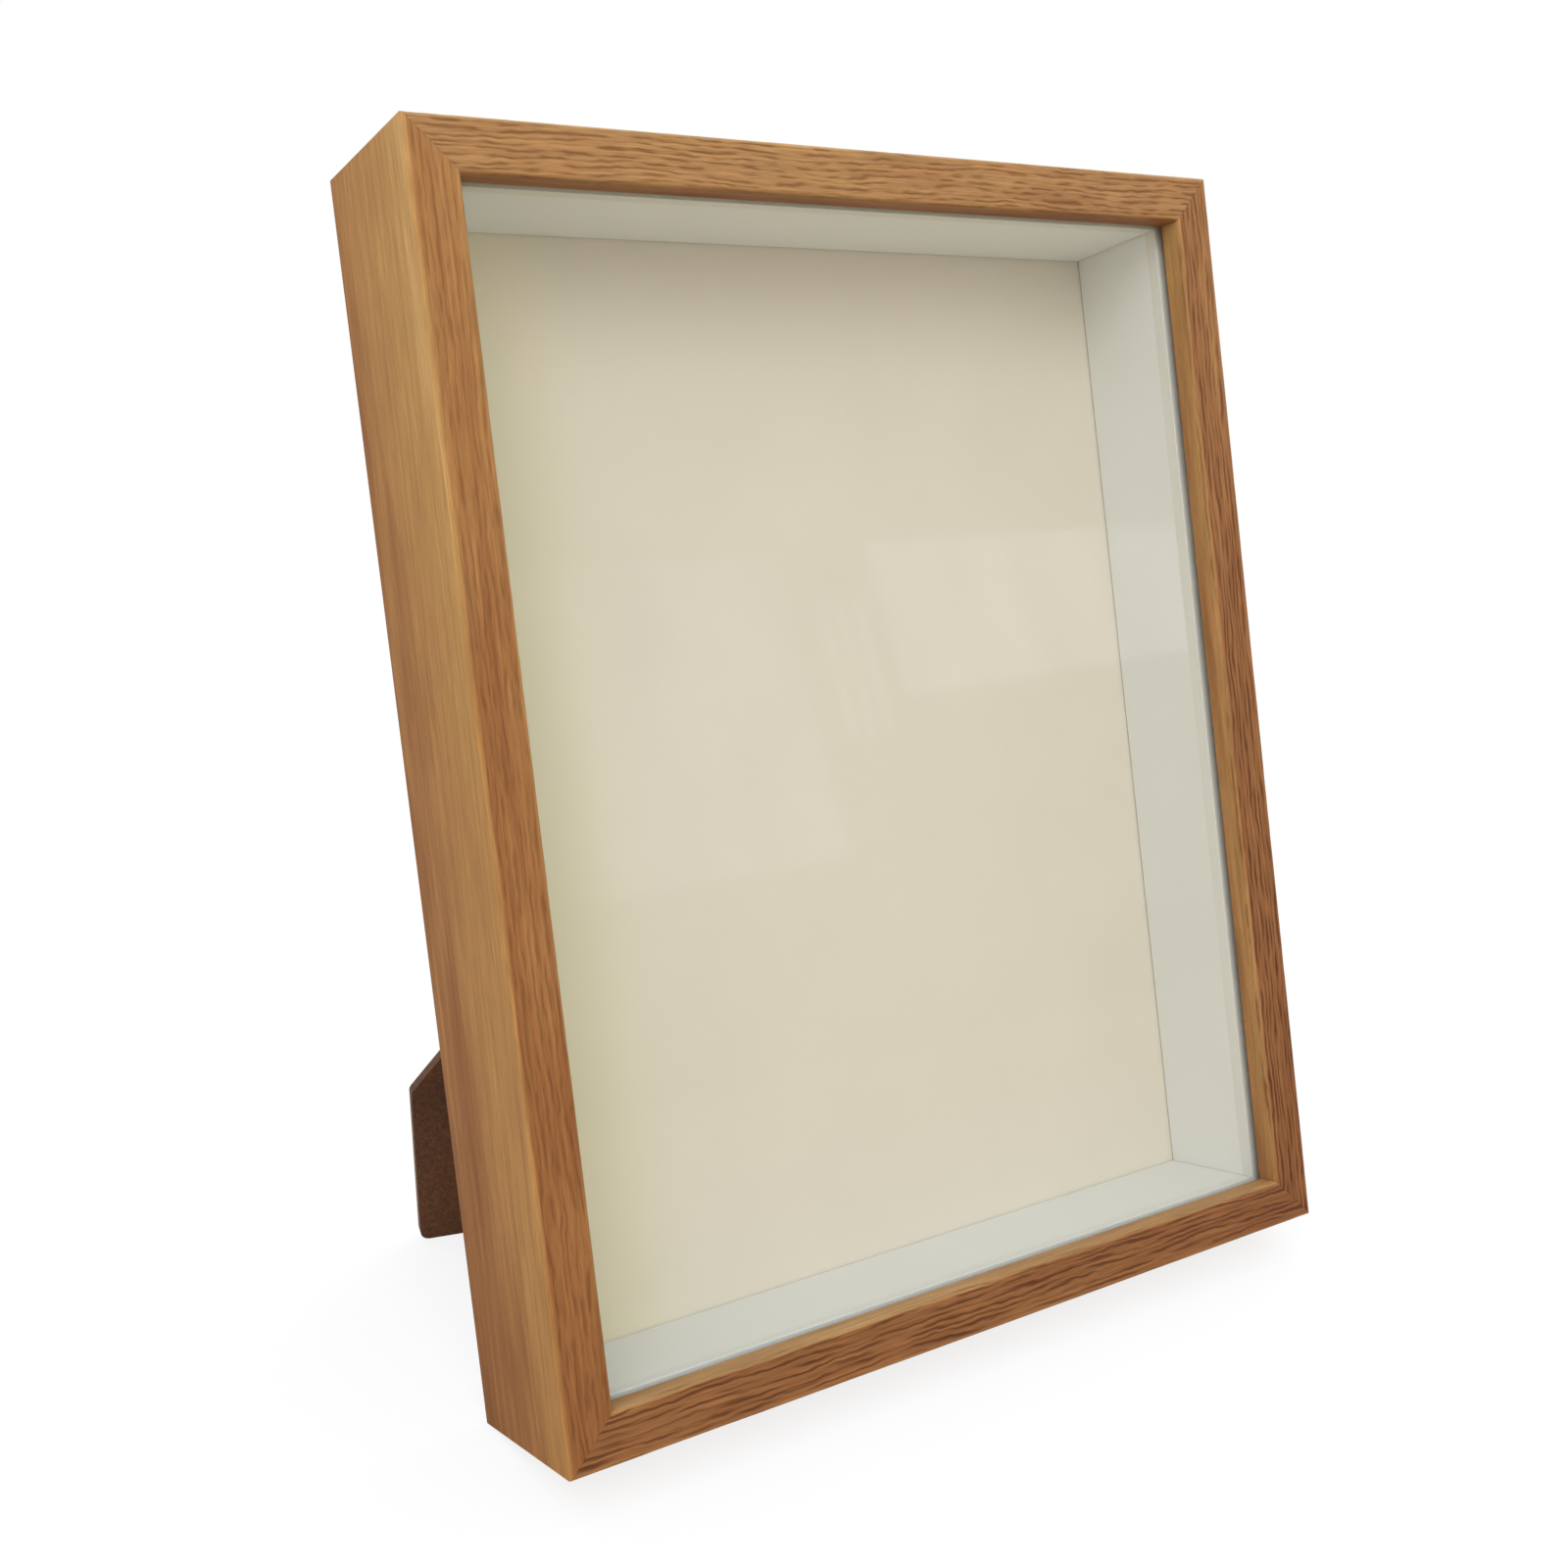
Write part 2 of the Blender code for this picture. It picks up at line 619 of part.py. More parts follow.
def build_buttons(frame):
    """Six turn buttons, each free to swing about its own screw."""
    reach = BUTTON_THICKNESS + GAP
    radius = SCREW_RADIUS + GAP
    for number, (_, place, turn) in enumerate(button_seats(), 1):
        pivot = empty(f"button_pivot_{number}", frame, place, (0, turn, 0))
        shape = plate(button_outline(), GAP, GAP + BUTTON_THICKNESS)
        button = piece(f"turn_button_{number}", shape, "zinc_steel", pivot)
        eye = lathe([(0.0, -reach), (radius, -reach), (radius, 3 * reach), (0.0, 3 * reach)], 16)
        combine(button, [tool(f"button_eye_{number}", eye, pivot)])

        under_head = (0, 2 * GAP + BUTTON_THICKNESS, 0)
        name = f"button_screw_{number}"
        screw = piece(name, screw_shape(), "zinc_steel", pivot, under_head, smooth=True)
        arm = SCREW_HEAD_RADIUS * 0.55
        slot = 0.35 * MM
        floor = SCREW_HEAD_HEIGHT * 0.35
        top = SCREW_HEAD_HEIGHT * 1.5
        across = tool(f"{name}_across", box((-arm, floor, -slot), (arm, top, slot)), pivot, under_head)
        along = tool(f"{name}_along", box((-slot, floor, -arm), (slot, top, arm)), pivot, under_head)
        combine(screw, [across, along])


def hanger_shape():
    """A strip whose middle stands off the wood, with saw teeth along its lower edge."""
    shape = bmesh.new()
    half = HANGER_LENGTH / 2
    toothed = HANGER_LENGTH * 0.24
    ramp = HANGER_LENGTH * 0.1
    pitch = 2 * toothed / HANGER_TEETH
    stations = {-half, half, toothed + ramp, -toothed - ramp}
    for tooth in range(2 * HANGER_TEETH + 1):
        stations.add(round(-toothed + tooth * pitch / 2, 9))
    for step in range(1, 5):
        stations.update((toothed + ramp * step / 5, -toothed - ramp * step / 5))
    rows = []
    for index, along in enumerate(sorted(stations)):
        past = (abs(along) - toothed) / ramp
        share = min(max(1.0 - past, 0.0), 1.0)
        lift = GAP + HANGER_BULGE * share * share * (3 - 2 * share)
        notch = 0.0
        if abs(along) < toothed - 1e-6:
            notch = HANGER_TOOTH * (round((along + toothed) / (pitch / 2)) % 2)
        low = -HANGER_HEIGHT / 2 + notch
        high = HANGER_HEIGHT / 2
        ring = [(along, lift, low), (along, lift + HANGER_SHEET, low)]
        ring += [(along, lift + HANGER_SHEET, high), (along, lift, high)]
        rows.append([shape.verts.new(point) for point in ring])
    for row, following in zip(rows, rows[1:]):
        for index in range(4):
            after = (index + 1) % 4
            shape.faces.new((row[index], row[after], following[after], following[index]))
    shape.faces.new(rows[0])
    shape.faces.new(reversed(rows[-1]))
    return shape


def nail_shape():
    """A flat headed nail, the underside of the head at y = 0."""
    end = -(HANGER_SHEET + 2 * GAP + NAIL_DEPTH)
    head = NAIL_HEAD_RADIUS
    profile = [(0.0, end), (NAIL_RADIUS, end + 2 * NAIL_RADIUS), (NAIL_RADIUS, 0.0), (head, 0.0)]
    profile += [(head, NAIL_HEAD_HEIGHT * 0.6), (head * 0.8, NAIL_HEAD_HEIGHT)]
    return lathe(profile + [(0.0, NAIL_HEAD_HEIGHT)], 16)


def build_hangers(frame):
    """A sawtooth hanger for each way up, with two nails each."""
    for way, (_, place, turn) in hanger_seats().items():
        seat = empty(f"hanger_seat_{way}", frame, place, (0, turn, 0))
        strip = piece(f"hanger_{way}", hanger_shape(), "brass_plated_steel", seat)
        holes = []
        for label, along in zip("ab", (-HANGER_NAIL_SPREAD / 2, HANGER_NAIL_SPREAD / 2)):
            reach = 2.0 * MM
            radius = NAIL_RADIUS + GAP
            eye = lathe([(0.0, -reach), (radius, -reach), (radius, reach), (0.0, reach)], 12)
            holes.append(tool(f"hanger_eye_{way}_{label}", eye, seat, (along, 0, 0)))
            place_head = (along, 2 * GAP + HANGER_SHEET, 0)
            name = f"hanger_nail_{way}_{label}"
            piece(name, nail_shape(), "brass_plated_steel", seat, place_head, smooth=True)
        combine(strip, holes)


# ---- assembly -----------------------------------------------------------------------------
def depth_range():
    """Least and greatest Y of the leaning box and its leg, before it is centred."""
    depths = []
    for across, up in leg_outline():
        for face in (LEG_FRONT, LEG_BACK):
            point = leg_point(across, face, up)
            depths.append(point.y * math.cos(LEAN) + point.z * math.sin(LEAN))
    return ARRIS * math.sin(LEAN), max(depths)


def frame_seat():
    """Where the frame's own origin goes, so the box stands on z = 0 about x = y = 0."""
    front, back = depth_range()
    return Vector((0, -(front + back) / 2, FRAME_DEPTH * math.sin(LEAN)))


def main():
    frame = empty("frame_lean", None, frame_seat(), (-LEAN, 0, 0))
    build_moulding(frame)
    build_corner_nails(frame)
    build_stack(frame)
    build_easel(frame)
    build_buttons(frame)
    build_hangers(frame)


main()
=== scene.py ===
"""Looks of the shadow box: oak-foil moulding, glass, white spacers, cream board, hardboard leg.

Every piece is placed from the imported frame.  The box leans back, so most pieces are worked out in
the box's own axes, RIGHT, BACK and UP, and turned into the frame's axes at the end.
"""
import json
import math

import bmesh
import bpy
import numpy as np
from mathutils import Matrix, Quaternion, Vector


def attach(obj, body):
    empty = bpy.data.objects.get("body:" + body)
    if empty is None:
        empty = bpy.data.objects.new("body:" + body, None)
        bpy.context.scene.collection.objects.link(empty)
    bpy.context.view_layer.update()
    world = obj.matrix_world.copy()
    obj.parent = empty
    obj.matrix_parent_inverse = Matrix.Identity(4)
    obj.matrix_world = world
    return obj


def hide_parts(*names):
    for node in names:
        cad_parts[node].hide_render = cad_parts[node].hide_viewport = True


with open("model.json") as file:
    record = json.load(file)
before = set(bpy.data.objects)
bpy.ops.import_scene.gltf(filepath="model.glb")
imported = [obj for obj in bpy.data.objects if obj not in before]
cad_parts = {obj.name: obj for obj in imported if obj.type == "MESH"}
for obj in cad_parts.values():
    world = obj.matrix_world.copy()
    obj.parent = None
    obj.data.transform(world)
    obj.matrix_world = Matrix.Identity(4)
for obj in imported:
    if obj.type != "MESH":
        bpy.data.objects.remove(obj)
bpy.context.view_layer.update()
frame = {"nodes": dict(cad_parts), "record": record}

MM = 0.001
GAP = 0.3 * MM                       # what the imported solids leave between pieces
NODES = frame["nodes"]
JOINTS = {joint["name"]: joint for joint in frame["record"]["behaviour"]["joints"]}


# ---- axes and places ----------------------------------------------------------------------
def unit(vector):
    """The vector scaled to length one."""
    return np.asarray(vector, float) / np.linalg.norm(vector)


def unit_rows(rows):
    """Each row scaled to length one."""
    return rows / np.linalg.norm(rows, axis=1)[:, None]


def vertices(node):
    """A CAD node's vertices at rest, as an array."""
    mesh = NODES[node].data
    found = np.empty(len(mesh.vertices) * 3, np.float32)
    mesh.vertices.foreach_get("co", found)
    return found.reshape(-1, 3).astype(float)


def span(node, axes):
    """Lowest and highest coordinate of a CAD node along each of three axes."""
    along = vertices(node) @ axes.T
    return along.min(0), along.max(0)


def flat_normal(node):
    """The way a flat node faces: the direction in which most of its area looks."""
    mesh = NODES[node].data
    mesh.calc_loop_triangles()
    corners = np.empty(len(mesh.loop_triangles) * 3, np.int32)
    mesh.loop_triangles.foreach_get("vertices", corners)
    a, b, c = vertices(node)[corners].reshape(-1, 3, 3).transpose(1, 0, 2)
    cross = np.cross(b - a, c - a)
    size = np.linalg.norm(cross, axis=1)
    spread = (cross / np.maximum(size, 1e-15)[:, None]).T @ cross
    return np.linalg.eigh(spread)[1][:, -1]


RIGHT = np.array([1.0, 0.0, 0.0])
BACK = unit(JOINTS["button_turn_1"]["axis"])
UP = np.cross(RIGHT, BACK)
BOX = np.array([RIGHT, BACK, UP])

PIN = unit(JOINTS["leg_fold"]["axis"])
LEG_BACK = flat_normal("easel_leg")
LEG_BACK = LEG_BACK * np.sign(LEG_BACK @ BACK)
LEG = np.array([PIN, LEG_BACK, np.cross(PIN, LEG_BACK)])

STILE_LOW, STILE_HIGH = span("stile_left", BOX)
LEFT, FRONT = STILE_LOW[0], STILE_LOW[1]
BOTTOM = span("rail_bottom", BOX)[0][2]
RIGHT_SIDE = span("stile_right", BOX)[1][0]
TOP = span("rail_top", BOX)[1][2]
FACE = STILE_HIGH[0] - LEFT
DEPTH = STILE_HIGH[1] - FRONT
WALL = span("spacer_left", BOX)[0][0] - GAP - LEFT
LIP = span("glass_pane", BOX)[0][1] - GAP - FRONT


# ---- smooth random fields -----------------------------------------------------------------
def drift(x, y, seed):
    """Gradient noise, about -1 to 1.

    Each corner of a one-by-one lattice has a random slope; a point takes the four slopes' heights
    there, eased together by 6t^5 - 15t^4 + 10t^3.
    """
    turn = np.random.default_rng(seed).uniform(0, 2 * np.pi, (256, 256))
    x, y = np.broadcast_arrays(x, y)
    column, row = np.floor(x).astype(int), np.floor(y).astype(int)
    u, v = x - column, y - row
    ease_u, ease_v = (t ** 3 * (t * (t * 6 - 15) + 10) for t in (u, v))

    def height(right, up):
        angle = turn[(column + right) % 256, (row + up) % 256]
        return np.cos(angle) * (u - right) + np.sin(angle) * (v - up)

    low = height(0, 0) + ease_u * (height(1, 0) - height(0, 0))
    high = height(0, 1) + ease_u * (height(1, 1) - height(0, 1))
    return 1.5 * (low + ease_v * (high - low))


def eased(value, start, end):
    """0 before start, 1 after end, smooth between."""
    share = np.clip((value - start) / (end - start), 0, 1)
    return share * share * (3 - 2 * share)


# ---- meshes -------------------------------------------------------------------------------
def finish_mesh(name, mesh, smooth_angle):
    """An object for the mesh, its faces smooth but for edges sharper than the angle."""
    mesh.polygons.foreach_set("use_smooth", np.ones(len(mesh.polygons), bool))
    mesh.set_sharp_from_angle(angle=math.radians(smooth_angle))
    made = bpy.data.objects.new(name, mesh)
    bpy.context.scene.collection.objects.link(made)
    return made


def surface(name, points, loop_rows=False, capped=False, values=None, smooth_angle=40):
    """A closed surface over a grid of points, rows by columns, each row a closed ring.

    Each quad joins two neighbours of a row with the same two of the next.  loop_rows joins the
    last row to the first, and capped fills the first and last ring with one face each.  Points
    that fall together, as at a pole, are merged.  values are numbers kept at the points.
    """
    rows, columns = points.shape[:2]
    index = np.arange(rows * columns).reshape(rows, columns)
    index = np.concatenate([index, index[:, :1]], 1)
    if loop_rows:
        index = np.concatenate([index, index[:1]], 0)
    quads = np.stack([index[:-1, :-1], index[1:, :-1], index[1:, 1:], index[:-1, 1:]], -1)
    a, b, c, d = points.reshape(-1, 3)[quads.reshape(-1, 4)].transpose(1, 0, 2)
    middle = points.reshape(-1, 3).mean(0)
    inside_out = np.sum((a - middle) * (np.cross(b - a, c - a) + np.cross(c - a, d - a))) < 0
    faces = quads.reshape(-1, 4).tolist()
    if capped:
        faces += [index[0, :-1].tolist(), index[-1, -2::-1].tolist()]
    mesh = bpy.data.meshes.new(name)
    mesh.from_pydata(points.reshape(-1, 3), [], faces)
    for key, value in (values or {}).items():
        kind = "FLOAT_VECTOR" if value.ndim == 3 else "FLOAT"
        field = "vector" if value.ndim == 3 else "value"
        kept = mesh.attributes.new(key, kind, "POINT")
        kept.data.foreach_set(field, value.astype(np.float32).ravel())
    if inside_out:
        mesh.flip_normals()
    if not capped:
        shape = bmesh.new()
        shape.from_mesh(mesh)
        bmesh.ops.remove_doubles(shape, verts=shape.verts, dist=1e-7)
        shape.to_mesh(mesh)
        shape.free()
    mesh.update()
    return finish_mesh(name, mesh, smooth_angle)


def softened(node, name, edge, shift=(0, 0, 0)):
    """A copy of a CAD node, moved by shift, its triangles joined and its edges rounded."""
    mesh = NODES[node].data.copy()
    mesh.name = name
    mesh.materials.clear()
    shape = bmesh.new()
    shape.from_mesh(mesh)
    bmesh.ops.remove_doubles(shape, verts=shape.verts, dist=1e-6)
    bmesh.ops.dissolve_limit(
        shape, angle_limit=math.radians(0.5), verts=shape.verts, edges=shape.edges
    )
    bmesh.ops.translate(shape, verts=shape.verts, vec=Vector(shift))
    shape.to_mesh(mesh)
    shape.free()
    made = finish_mesh(name, mesh, 35)
    bevel = made.modifiers.new("soft edges", "BEVEL")
    bevel.width = edge
    bevel.segments = 3
    bevel.limit_method = "ANGLE"
    bevel.angle_limit = math.radians(35)
    bevel.use_clamp_overlap = True
    return made


def fitted(piece, material, body, slot, *nodes):
    """Gives the piece its material and the body it rides on, and hides the nodes it replaces.  slot
    is not used.
    """
    piece.data.materials.append(material)
    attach(piece, body)
    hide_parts(*nodes)
    return piece


# ---- materials ----------------------------------------------------------------------------
def colour(code):
    """Linear RGBA of an sRGB hex colour."""
    parts = [int(code[i:i + 2], 16) / 255 for i in (1, 3, 5)]
    return [c / 12.92 if c <= 0.04045 else ((c + 0.055) / 1.055) ** 2.4 for c in parts] + [1.0]


def node(tree, kind, inputs=None, stops=None, **settings):
    """One node of that kind: its settings, its ramp's stops, and a value or link per input."""
    made = tree.nodes.new(kind)
    for key, value in settings.items():
        setattr(made, key, value)
    for place, (at, shade) in enumerate(stops or []):
        ramp = made.color_ramp.elements
        stop = ramp[place] if place < 2 else ramp.new(at)
        stop.position = at
        stop.color = colour(shade) if isinstance(shade, str) else (shade, shade, shade, 1.0)
    for key, value in (inputs or {}).items():
        if isinstance(value, bpy.types.NodeSocket):
            tree.links.new(value, made.inputs[key])
        else:
            made.inputs[key].default_value = value
    return made


def material(name):
    """An empty material and its node tree."""
    made = bpy.data.materials.new(name)
    made.use_nodes = True
    made.node_tree.nodes.clear()
    return made, made.node_tree


def output(tree, shader):
    """Sends the shader to the material's surface."""
    node(tree, "ShaderNodeOutputMaterial", {"Surface": shader})


def grain_noise(tree, vector, per_mm, detail=3.0, rough=0.5):
    """Noise whose grains are 1 / per_mm millimetres along each axis of a vector in metres."""
    scaled = node(tree, "ShaderNodeMapping", {"Vector": vector, "Scale": [s / MM for s in per_mm]})
    settings = {"Vector": scaled.outputs[0], "Scale": 1.0, "Detail": detail, "Roughness": rough}
    return node(tree, "ShaderNodeTexNoise", settings).outputs["Fac"]


def oak_foil():
    """Oak-print decor foil over a mitred moulding, its front pressed with pores.

    The print gives long soft bands and fine hair lines, the pressed pores read as dark broken
    strokes with light ridges between, and the lacquer keeps a low satin sheen that dulls in the
    pores.
    """
    made, tree = material("oak_decor_foil")
    place = node(tree, "ShaderNodeAttribute", attribute_name="strip").outputs["Vector"]
    pores = node(tree, "ShaderNodeAttribute", attribute_name="pores").outputs["Fac"]
    shade = node(tree, "ShaderNodeAttribute", attribute_name="shade").outputs["Fac"]
    amber = node(tree, "ShaderNodeAttribute", attribute_name="amber").outputs["Fac"]
    fibres = grain_noise(tree, place, (0.18, 3.2, 1.0), 4.0, 0.6)
    streaks = grain_noise(tree, place, (0.035, 0.8, 1.0), 2.0)
    hairs = grain_noise(tree, place, (0.07, 2.4, 1.0), 2.0, 0.6)
    # the print's tone with painted light and shade: darker towards the bottom and right, and
    # lighter or darker on each face by how it faces the light
    print_and_painted_shade = node(tree, "ShaderNodeValToRGB", {"Fac": shade}, [
        (0.0, "#4a2812"), (1.0, "#c3a273"), (0.28, "#7b4b28"), (0.48, "#8f613a"),
        (0.65, "#a57b4e"), (0.85, "#b08b5a")])
    stroke = node(tree, "ShaderNodeValToRGB", {"Fac": pores}, [
        (0.0, "#ffffff"), (1.0, "#9f8a79"), (0.3, "#f3ede7"), (0.65, "#cdbfb2")])
    fibre = node(tree, "ShaderNodeMapRange", {
        "Value": fibres, "From Min": 0.3, "From Max": 0.7, "To Min": 0.86, "To Max": 1.13})
    streak = node(tree, "ShaderNodeMapRange", {
        "Value": streaks, "From Min": 0.3, "From Max": 0.7, "To Min": 0.87, "To Max": 1.12})
    hair = node(tree, "ShaderNodeMapRange", {
        "Value": hairs, "From Min": 0.32, "From Max": 0.6, "To Min": 0.88, "To Max": 1.04})
    both = node(tree, "ShaderNodeMath", {0: fibre.outputs[0], 1: streak.outputs[0]},
                operation="MULTIPLY")
    both = node(tree, "ShaderNodeMath", {0: both.outputs[0], 1: hair.outputs[0]},
                operation="MULTIPLY")
    pored = node(tree, "ShaderNodeMix", {
        0: 1.0, 6: print_and_painted_shade.outputs[0], 7: stroke.outputs[0]},
        data_type="RGBA", blend_type="MULTIPLY")
    cast = node(tree, "ShaderNodeMix", {
        0: amber, 6: pored.outputs[2], 7: colour("#fff8df")},
        data_type="RGBA", blend_type="MULTIPLY")
    toned = node(tree, "ShaderNodeVectorMath", {
        0: cast.outputs[2], "Scale": both.outputs[0]}, operation="SCALE")
    rough = node(tree, "ShaderNodeMapRange", {
        "Value": pores, "To Min": 0.5, "To Max": 0.66})
    bump = node(tree, "ShaderNodeBump", {
        "Height": fibres, "Strength": 0.12, "Distance": 0.05 * MM})
    output(tree, node(tree, "ShaderNodeBsdfPrincipled", {
        "Base Color": toned.outputs[0], "Roughness": rough.outputs[0],
        "Normal": bump.outputs[0], "Specular IOR Level": 0.28}).outputs[0])
    return made


def wrapped_card(name, shades, mottling, roughness, left_wall_shadow=None):
    """Paper wrapped round card: matt, with a faint felted mottle of its fibres.

    Its last argument is (start, end, shade), a painted warm shade: the yellow-olive cast that the
    left wall's shadow and the wood's bounce give the board.  The card is that shade before start
    along X, and fades to its own by end.
    """
    made, tree = material(name)
    place = node(tree, "ShaderNodeTexCoord").outputs["Object"]
    felt = grain_noise(tree, place, (1.6, 1.6, 1.6), 4.0, 0.65)
    clouds = grain_noise(tree, place, (0.03, 0.03, 0.03), 2.0)
    tone = node(tree, "ShaderNodeMix", {0: clouds, 6: colour(shades[0]), 7: colour(shades[1])},
                data_type="RGBA").outputs[2]
    # a painted warm shade along the left edge, the left wall's shadow and the wood's bounce
    if left_wall_shadow:
        start, end, shade = left_wall_shadow
        across = node(tree, "ShaderNodeSeparateXYZ", {0: place}).outputs["X"]
        shadow_fade = node(tree, "ShaderNodeMapRange", {
            "Value": across, "From Min": start, "From Max": end, "To Min": 1.0, "To Max": 0.0},
            interpolation_type="SMOOTHERSTEP").outputs[0]
        tone = node(tree, "ShaderNodeMix", {0: shadow_fade, 6: tone, 7: colour(shade)},
                    data_type="RGBA").outputs[2]
    speck = node(tree, "ShaderNodeMapRange", {
        "Value": felt, "From Min": 0.3, "From Max": 0.7,
        "To Min": 1 - mottling, "To Max": 1 + mottling})
    toned = node(tree, "ShaderNodeVectorMath", {0: tone, "Scale": speck.outputs[0]},
                 operation="SCALE")
    bump = node(tree, "ShaderNodeBump", {
        "Height": felt, "Strength": 0.15, "Distance": 0.04 * MM})
    output(tree, node(tree, "ShaderNodeBsdfPrincipled", {
        "Base Color": toned.outputs[0], "Roughness": roughness,
        "Normal": bump.outputs[0], "Specular IOR Level": 0.3}).outputs[0])
    return made


def float_glass():
    """Clear float glass, thin enough that it doesn't visibly bend what is behind it.

    A ray that enters sees both faces' reflection, 2F / (1 + F) for Fresnel's F, and passes out
    of the far face untouched.  The pane tints what shows through it very slightly green.
    """
    made, tree = material("clear_float_glass")
    place = node(tree, "ShaderNodeTexCoord").outputs["Object"]
    fresnel = node(tree, "ShaderNodeFresnel", {"IOR": 1.52}).outputs[0]
    twice = node(tree, "ShaderNodeMath", {0: fresnel, 1: 2.0}, operation="MULTIPLY")
    more = node(tree, "ShaderNodeMath", {0: fresnel, 1: 1.0}, operation="ADD")
    both = node(tree, "ShaderNodeMath", {0: twice.outputs[0], 1: more.outputs[0]},
                operation="DIVIDE")
    leaving = node(tree, "ShaderNodeNewGeometry").outputs["Backfacing"]
    share = node(tree, "ShaderNodeMath", {0: 1.0, 1: leaving}, operation="SUBTRACT")
    mirror = node(tree, "ShaderNodeMath", {0: both.outputs[0], 1: share.outputs[0]},
                  operation="MULTIPLY")
    wipes = grain_noise(tree, place, (0.02, 0.02, 0.06), 3.0)
    haze = node(tree, "ShaderNodeMapRange", {
        "Value": wipes, "From Min": 0.35, "From Max": 0.75, "To Min": 0.03, "To Max": 0.09})
    through = node(tree, "ShaderNodeBsdfTransparent", {"Color": colour("#fefffe")})
    gloss = node(tree, "ShaderNodeBsdfAnisotropic", {"Roughness": haze.outputs[0]})
    output(tree, node(tree, "ShaderNodeMixShader", {
        0: mirror.outputs[0], 1: through.outputs[0], 2: gloss.outputs[0]}).outputs[0])
    return made


def hardboard():
    """Dark brown hardboard: pressed wood fibre, satin on its pressed face, flecked throughout."""
    made, tree = material("dark_hardboard")
    place = node(tree, "ShaderNodeTexCoord").outputs["Object"]
    fibre = grain_noise(tree, place, (1.1, 1.1, 1.1), 5.0, 0.7)
    clouds = grain_noise(tree, place, (0.06, 0.06, 0.06), 3.0)
    tone = node(tree, "ShaderNodeValToRGB", {"Fac": fibre}, [
        (0.25, "#321c10"), (0.75, "#714829"), (0.5, "#52311d")])
    wear = node(tree, "ShaderNodeMapRange", {
        "Value": clouds, "From Min": 0.3, "From Max": 0.7, "To Min": 0.85, "To Max": 1.15})
    toned = node(tree, "ShaderNodeVectorMath", {
        0: tone.outputs[0], "Scale": wear.outputs[0]}, operation="SCALE")
    rough = node(tree, "ShaderNodeMapRange", {
        "Value": fibre, "From Min": 0.3, "From Max": 0.7, "To Min": 0.6, "To Max": 0.48})
    bump = node(tree, "ShaderNodeBump", {
        "Height": fibre, "Strength": 0.35, "Distance": 0.08 * MM})
    output(tree, node(tree, "ShaderNodeBsdfPrincipled", {
        "Base Color": toned.outputs[0], "Roughness": rough.outputs[0],
        "Normal": bump.outputs[0]}).outputs[0])
    return made


def plated_steel(name, shades, smooth, dull):
    """Stamped steel sheet with a thin plated coat.

    Rolling leaves faint fine lines under the plating, which clouds the sheen in soft patches.
    """
    made, tree = material(name)
    place = node(tree, "ShaderNodeTexCoord").outputs["Object"]
    patches = grain_noise(tree, place, (0.22, 0.22, 0.22), 3.0, 0.6)
    lines = grain_noise(tree, place, (0.12, 1.4, 0.12), 3.0, 0.6)
    tone = node(tree, "ShaderNodeMix", {
        0: patches, 6: colour(shades[0]), 7: colour(shades[1])}, data_type="RGBA")
    both = node(tree, "ShaderNodeMath", {0: patches, 1: lines}, operation="MULTIPLY")
    rough = node(tree, "ShaderNodeMapRange", {
        "Value": both.outputs[0], "From Min": 0.1, "From Max": 0.45,
        "To Min": smooth, "To Max": dull})
    bump = node(tree, "ShaderNodeBump", {
        "Height": lines, "Strength": 0.12, "Distance": 0.012 * MM})
    output(tree, node(tree, "ShaderNodeBsdfPrincipled", {
        "Base Color": tone.outputs[2], "Metallic": 1.0, "Roughness": rough.outputs[0],
        "Normal": bump.outputs[0]}).outputs[0])
    return made


BOARD_LEFT = span("display_board", BOX)[0][0]
SHADOW_FULL, SHADOW_GONE = 8 * MM, 56 * MM     # how far in from the board's left edge the painted warm shade of the left wall is full and gone
OAK = oak_foil()
WHITE_CARD = wrapped_card("white_paper_on_card", ("#dbdddb", "#e0e2e0"), 0.015, 0.62)
# its last argument paints the left wall's warm shade along the board's left edge
CREAM_CARD = wrapped_card(
    "cream_mount_board", ("#d2cabd", "#d8d0c3"), 0.012, 0.85,
    (BOARD_LEFT + SHADOW_FULL, BOARD_LEFT + SHADOW_GONE, "#d7cfb3"))
GLASS = float_glass()
HARDBOARD = hardboard()
ZINC = plated_steel("zinc_plated_steel", ("#8d9296", "#b9bcbc"), 0.24, 0.5)
BRASS = plated_steel("brass_plated_steel", ("#a3834d", "#c4a56a"), 0.2, 0.4)


# ---- moulding -----------------------------------------------------------------------------
def stretch(start, end, step):
    """Points from start up to but not at end, evenly about a step apart."""
    count = max(1, round(math.dist(start, end) / step))
    share = np.arange(count)[:, None] / count
    return np.asarray(start) + share * (np.asarray(end) - np.asarray(start))


def arc(centre, radius, start, end, steps):
    """Points on an arc between two angles in degrees, its last point left out."""
    angle = np.radians(start + (end - start) * np.arange(steps) / steps)
    return np.asarray(centre) + radius * np.stack([np.cos(angle), np.sin(angle)], -1)


